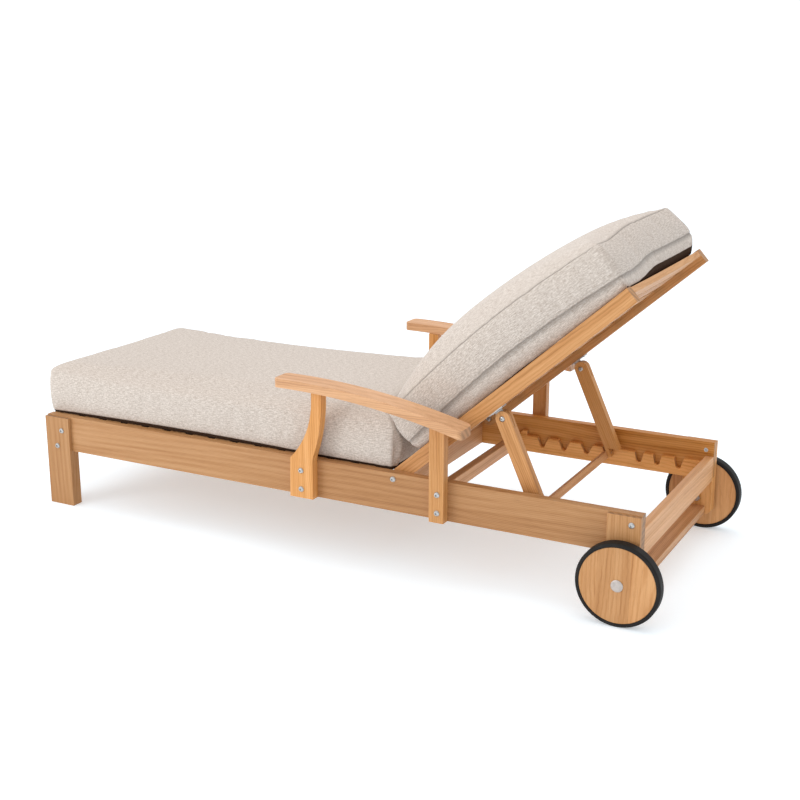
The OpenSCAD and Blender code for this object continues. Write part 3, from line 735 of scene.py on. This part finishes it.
    def fold(self, creases, width=0.007):
        """Presses soft creases in; each is (start, end, depth) in the cushion's own axes, and a
        depth below zero stands out. The cloth stands up a little on both sides of a crease."""
        inward = np.zeros(len(self.points))
        for start, end, depth in creases:
            start, end = np.array(start), np.array(end)
            run = end - start
            t = np.clip((self.points - start) @ run / (run @ run), 0, 1)
            reach = np.linalg.norm(self.points - start - t[:, None] * run, axis=1)
            fade = np.sin(np.pi * np.clip(0.12 + 0.88 * t, 0, 1)) ** 0.5
            inward += depth * fade * np.exp(-((reach / width) ** 2))
            inward -= 0.45 * depth * fade * np.exp(-(((reach - 1.7 * width) / width) ** 2))
        self.points = self.points - self.normals() * inward[:, None]

    def stretch(self, where, shift, reach):
        """Draws one place of the cover out, fading away from it."""
        away = np.linalg.norm(self.points - np.array(where), axis=1)
        self.points = self.points + np.exp(-((away / reach) ** 2))[:, None] * np.array(shift)

    def above_seam(self, distance, until):
        """How far each point of the boxing is from a line above the lower seam, short of until."""
        reach = np.where(self.on_boxing(), np.abs(self.from_lower - distance), 9)
        return np.where(self.points[:, 0] < until, reach, 9)

    def from_corner(self, along, side):
        """How far each point of the boxing is from an upright seam at one place on a side."""
        reach = np.hypot(self.points[:, 0] - along, self.points[:, 1] - side)
        return np.where(self.on_boxing(), reach, 9)

    def on_boxing(self):
        chosen = np.zeros(len(self.points), bool)
        chosen[self.row_index.ravel()] = True
        return chosen

    def place(self):
        """Writes the seam shading, then puts the cushion on the frame."""
        self.write()
        mesh = self.object.data
        layer = mesh.attributes.new("seam", "FLOAT", "POINT")
        layer.data.foreach_set("value", self.dark.astype(np.float32))
        mesh.transform(self.matrix)
        mesh.update()


def points_of(mesh):
    found = np.zeros(len(mesh.vertices) * 3, np.float32)
    mesh.vertices.foreach_get("co", found)
    return found.reshape(-1, 3).astype(float)


def swell(height, power=0.8):
    return lambda t, row: height * math.sin(math.pi * t) ** power * np.ones(len(row))


# The seat cushion: along from the foot end, and half its width. Its upper seam is highest at
# the two ends, and its top is fuller towards the backrest.
SEAT_START, SEAT_END, SEAT_HALF = -0.014, 1.253, 0.3335


def seat_upper(a, b):
    u = np.clip((a - SEAT_START) / (SEAT_END - SEAT_START), 0, 1)
    return 0.430 - 0.009 * np.sin(np.pi * u) ** 1.5


def seat_lower(a, b):
    u = np.clip((a - SEAT_START) / (SEAT_END - SEAT_START), 0, 1)
    return 0.3035 + 0.0065 * np.sin(np.pi * np.clip(u / 0.8, 0, 1))


def seat_top(a, b, u, v, from_end, from_side, seam):
    rise = (0.030 + 0.010 * u) * edge_rise(from_end, 0.040) * edge_rise(from_side, 0.040)
    crown = 0.010 * (1 - np.abs(u) ** 2.2) ** 0.8 * (1 - np.abs(v) ** 2.2) ** 0.8
    return seam + rise + crown


def seat_base(a, b, u, v, from_end, from_side, seam):
    """The base lies on the slats and sags a little between them, and past the last one."""
    past = (a - SLAT_FIRST) % SLAT_STEP - SLAT_WIDTH
    gap = np.where(a > SLAT_FIRST, np.clip(past / (SLAT_STEP - SLAT_WIDTH), 0, 1), 0)
    hang = np.where(a > SLAT_LAST, 1, np.sin(np.pi * gap) ** 0.4)
    inset = np.where(a > SLAT_LAST, from_side, np.clip(from_side - 0.003, 0, None))
    sag = 0.009 * hang * edge_rise(inset, 0.010) * edge_rise(from_end, 0.012)
    down = 0.03 * edge_rise(from_end, 0.09) * edge_rise(from_side, 0.09)
    return np.maximum(SLAT_TOP + 0.0012, seam - down) - sag


# The back cushion: along the stiles from the pivot, half its width, and the height at which
# it lies on the slats
BACK_START, BACK_END, BACK_HALF = 0.080, 0.889, 0.322
REST = 0.0235


def back_profile(a):
    return np.sin(np.pi * np.clip((a - BACK_START) / (BACK_END - BACK_START), 0, 1))


def back_dip(a, b):
    """How far the seams dip towards both ends; at the head end only on the left side."""
    middle = (BACK_START + BACK_END) / 2
    head = np.clip((a - middle) / (BACK_END - middle), 0, 1)
    side = np.clip(-b / 0.25, 0, 1)
    left = side * side * (3 - 2 * side)
    keep = 1 - 0.8 * head * (1 - left)
    return 0.024 * (1 - back_profile(a)) * keep


def back_upper(a, b):
    return 0.180 - back_dip(a, b)


def back_lower(a, b):
    return 0.080 - back_dip(a, b)


def back_top(a, b, u, v, from_end, from_side, seam):
    """A dome, fullest at the small of the back."""
    along = np.clip((a - BACK_START) / (BACK_END - BACK_START), 0, 1)
    fullness = 0.056 + 0.030 * np.sin(np.pi * along**0.5) * (1 - along) ** 0.4
    crown = fullness * (1 - np.abs(v) ** 2.5) ** 0.72 * (1 - np.abs(u) ** 3.2) ** 0.62
    return seam + crown


def back_base(a, b, u, v, from_end, from_side, seam):
    end_radius = np.where(u < 0, 0.072, 0.050)
    round_in = edge_rise(from_end, end_radius) * edge_rise(from_side, 0.034)
    return np.maximum(REST, seam - 0.064 * round_in)


def pins_near(cushion, low, seam_hold=0.55):
    """Pins for the cloth: fixed where the cushion rests, held along the seams."""
    seam = np.minimum(cushion.from_upper, cushion.from_lower) < 0.001
    lines = cushion.points[seam]
    tree = KDTree(len(lines))
    for i, p in enumerate(lines):
        tree.insert(p, i)
    tree.balance()

    def hold(points):
        weights = np.zeros(len(points))
        for i, p in enumerate(points):
            reach = tree.find(p)[2]
            weights[i] = seam_hold * max(0.0, 1 - reach / 0.014)
        weights[points[:, 2] < low] = 1.0
        return weights

    return hold


# Pulls at the head end's left corner, and folds low on the left side at the small of the back
CREASES = [
    ((0.872, -0.300, 0.178), (0.800, -0.215, 0.222), 0.0035),
    ((0.868, -0.306, 0.176), (0.765, -0.275, 0.212), 0.0030),
    ((0.876, -0.290, 0.180), (0.842, -0.170, 0.222), 0.0030),
    ((0.880, -0.318, 0.160), (0.884, -0.316, 0.085), 0.0030),
    ((0.300, -0.322, 0.036), (0.370, -0.327, 0.060), 0.0030),
    ((0.350, -0.322, 0.032), (0.430, -0.327, 0.058), 0.0035),
    ((0.430, -0.322, 0.036), (0.490, -0.327, 0.056), 0.0025),
]

# Slack cloth at the rear corners of the seat cushion, next to the backrest: a fold that stands
# out on each side, and a crease beside it
PLEATS = [((1.250, side * 0.312, 0.306), (1.262, side * 0.298, 0.385), -0.009) for side in (-1, 1)]
PLEATS += [((1.256, side * 0.328, 0.330), (1.258, side * 0.326, 0.405), 0.004) for side in (-1, 1)]


def make_seat_cushion():
    size, corner, pull = (SEAT_START, SEAT_END, SEAT_HALF), (0.024, 0.010), 0.001
    c = Cushion("lounger_seat_cushion", size, corner, pull, seat_upper, seat_lower, seat_top, seat_base,
                swell(0.005), Matrix.Translation((FOOT_X, 0, 0)), skew=0.028)
    c.puff(4.0, 0.008, 0.010, pins_near(c, SLAT_TOP + 0.004))
    end = SEAT_END - 0.020
    # Upright seams at the rear corners; these and the lower seam carry painted shade in their creases
    uprights = [(c.from_corner(end, side), 0.0016, 0.45) for side in (-SEAT_HALF, SEAT_HALF)]
    c.fold(PLEATS, 0.009)
    c.sew((0.0004, 0.0), (0.0026, 0.9), uprights)
    c.place()
    return c


def make_back_cushion():
    size, corner, pull = (BACK_START, BACK_END, BACK_HALF), (0.030, 0.014), 0.004
    c = Cushion("lounger_back_cushion", size, corner, pull, back_upper, back_lower, back_top, back_base,
                swell(0.006), BACK)
    c.puff(4.0, 0.009, 0.016, pins_near(c, REST + 0.003, 0.4))
    # The head end's lower right corner stands out a little
    c.stretch((BACK_END, BACK_HALF, 0.077), (0.004, 0.024, 0.002), 0.045)
    c.fold(CREASES)
    # A second stitch line above the lower seam; it and both seams carry painted shade in their grooves
    stitching = (c.above_seam(0.0085, BACK_END - 0.03), 0.0006, 0.28)
    c.sew((0.0026, 0.8), (0.0022, 0.8), [stitching])
    c.place()
    return c


def finish_cushion(c, margins):
    """Cloth all over, but for the dark lining on the base. margins are the widths of cloth left
    round it: at the start, at the end and along the sides."""
    mesh = c.object.data
    for m in (CLOTH, LINING):
        mesh.materials.append(m)
    slots = np.zeros(len(c.kinds), np.int32)
    for face in np.nonzero(c.kinds == 2)[0]:
        corners = np.array(mesh.polygons[int(face)].vertices) - len(c.gaps)
        slots[face] = np.all(c.gaps[corners].min(0) > np.array(margins) - 0.0001)
    mesh.polygons.foreach_set("material_index", slots)


build_studio()
finish_timber()
finish_metal()

CLOTH = heather("canvas", (0.675, 0.604, 0.545), (0.365, 0.297, 0.245))
LINING = heather("lining", (0.060, 0.032, 0.019), (0.026, 0.014, 0.009), shade_seams=False, sheen=0.02)

seat = make_seat_cushion()
finish_cushion(seat, (0, 0, 0))
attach(seat.object, "frame")
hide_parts("seat_cushion")

back = make_back_cushion()
finish_cushion(back, (0.040, 0.0078, 0.0158))
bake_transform(back.object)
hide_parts("back_cushion")
